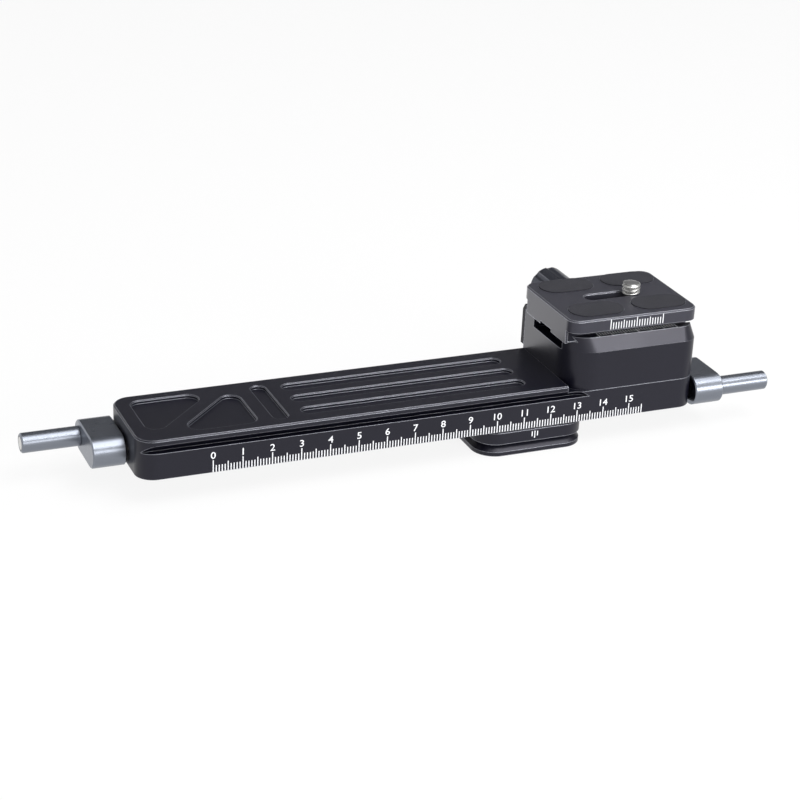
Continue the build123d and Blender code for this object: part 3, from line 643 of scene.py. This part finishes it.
# %% White table
def table_finish():
    matt = {"Base Color": (0.9, 0.9, 0.9, 1), "Roughness": 0.9, "Specular IOR Level": 0.1}
    finish = Finish("white_table", matt)
    path = finish.nodes.new("ShaderNodeLightPath")
    rays = ("Is Camera Ray", "Is Glossy Ray", "Is Transmission Ray")
    seen = [Level(finish, path.outputs[ray]) for ray in rays]
    shown = finish.clamped(seen[0] + seen[1] + seen[2], 0.0, 1.0, 0.0, 0.88)
    white = finish.node("ShaderNodeEmission", {}, {"Color": (1, 1, 1, 1), "Strength": 1.0})
    plain = Level(finish, finish.shader.outputs[0])
    mixed = finish.node("ShaderNodeMixShader", {}, {0: shown, 1: plain, 2: white})
    finish.links.new(mixed.socket, finish.nodes["Material Output"].inputs["Surface"])
    return finish.material


def flat_card(name, centre, facing, width, height, material):
    shape = bmesh.new()
    bmesh.ops.create_grid(shape, x_segments=1, y_segments=1, size=0.5)
    bmesh.ops.scale(shape, vec=(width, height, 1), verts=shape.verts)
    turn = Vector(facing).to_track_quat("Z", "Y").to_matrix()
    bmesh.ops.rotate(shape, cent=(0, 0, 0), matrix=turn, verts=shape.verts)
    bmesh.ops.translate(shape, vec=centre, verts=shape.verts)
    mesh = bpy.data.meshes.new(name)
    shape.to_mesh(mesh)
    shape.free()
    mesh.materials.append(material)
    card = bpy.data.objects.new(name, mesh)
    bpy.context.scene.collection.objects.link(card)
    return card


flat_card("table", (0, 0, -0.0002), (0, 0, 1), 8.0, 8.0, table_finish())

# %% Grey card behind and above
grey_card = Finish("grey_card", {"Base Color": (0.3, 0.3, 0.31, 1), "Roughness": 0.9})
mirror_of_top = Vector((0.36, 0.64, 0.66)).normalized()
card_distance, card_size = 1.15, 1.7
card_place = mirror_of_top * card_distance + Vector((0, 0, 0.02))
card = flat_card("card_behind", card_place, -mirror_of_top, card_size, card_size, grey_card.material)
card.visible_camera = False
card.visible_shadow = False

# %% Bright room
room = bpy.data.worlds.new("bright_room")
bpy.context.scene.world = room
room.use_nodes = True
room_nodes = room.node_tree.nodes
room_links = room.node_tree.links
path = room_nodes.new("ShaderNodeLightPath")
seen = path.outputs["Is Camera Ray"]
for other in ("Is Glossy Ray", "Is Transmission Ray"):
    joined = room_nodes.new("ShaderNodeMath")
    joined.operation = "MAXIMUM"
    room_links.new(seen, joined.inputs[0])
    room_links.new(path.outputs[other], joined.inputs[1])
    seen = joined.outputs[0]
level = room_nodes.new("ShaderNodeMapRange")
level.inputs["To Min"].default_value = 0.5
level.inputs["To Max"].default_value = 1.0
room_links.new(seen, level.inputs["Value"])
room_nodes["Background"].inputs["Color"].default_value = (1, 1, 1, 1)
room_links.new(level.outputs[0], room_nodes["Background"].inputs["Strength"])


# %% Softboxes
def softbox(name, centre, aim, width, height, brightness):
    lamp = bpy.data.lights.new(name, "AREA")
    lamp.shape = "RECTANGLE"
    lamp.size = width
    lamp.size_y = height
    lamp.energy = brightness * math.pi * width * height
    holder = bpy.data.objects.new(name, lamp)
    bpy.context.scene.collection.objects.link(holder)
    direction = Vector(aim) - Vector(centre)
    turn = direction.to_track_quat("-Z", "Y").to_matrix().to_4x4()
    holder.matrix_world = Matrix.Translation(centre) @ turn
    holder.visible_camera = False


# centre, aim, width, height and brightness of each lamp, in metres
middle = (-0.03, 0, 0.02)
softbox("softbox_above", (0.22, -0.16, 0.88), middle, 0.85, 0.46, 4.0)
softbox("softbox_strip", (0.30, -0.46, 0.76), middle, 0.95, 0.1, 8.5)
softbox("softbox_front", (0.42, -0.86, 0.27), middle, 0.4, 0.24, 9.5)
softbox("softbox_fill", (0.10, -1.0, 0.38), middle, 1.2, 0.25, 3.2)
softbox("low_lamp_behind", (-0.045, 0.11, 0.001), (-0.045, 0.11, 1.0), 0.13, 0.18, 0.95)

# %% [markdown]
# ## The camera
#
# The photograph looks down at the rail from its left front. Place, angles and lens come from fitting the
# printed rule's marks, which stand one millimetre apart. Away from the rule the fit is less exact.

# %% Camera
focal_length = 93.24
camera_place = (-0.2977, -0.58554, 0.30380)
heading_degrees, look_down_degrees, roll_degrees = -23.525, 24.168, 2.633
lens = bpy.data.cameras.new("studio_camera")
lens.sensor_width = 36
lens.lens = focal_length
lens.clip_start = 0.01
camera = bpy.data.objects.new("studio_camera", lens)
bpy.context.scene.collection.objects.link(camera)
heading = Matrix.Rotation(math.radians(heading_degrees), 4, "Z")
tilt = Matrix.Rotation(math.radians(90 - look_down_degrees), 4, "X")
roll = Matrix.Rotation(math.radians(roll_degrees), 4, "Z")
camera.matrix_world = Matrix.Translation(camera_place) @ heading @ tilt @ roll
bpy.context.scene.camera = camera
bpy.context.scene.view_settings.view_transform = "Standard"
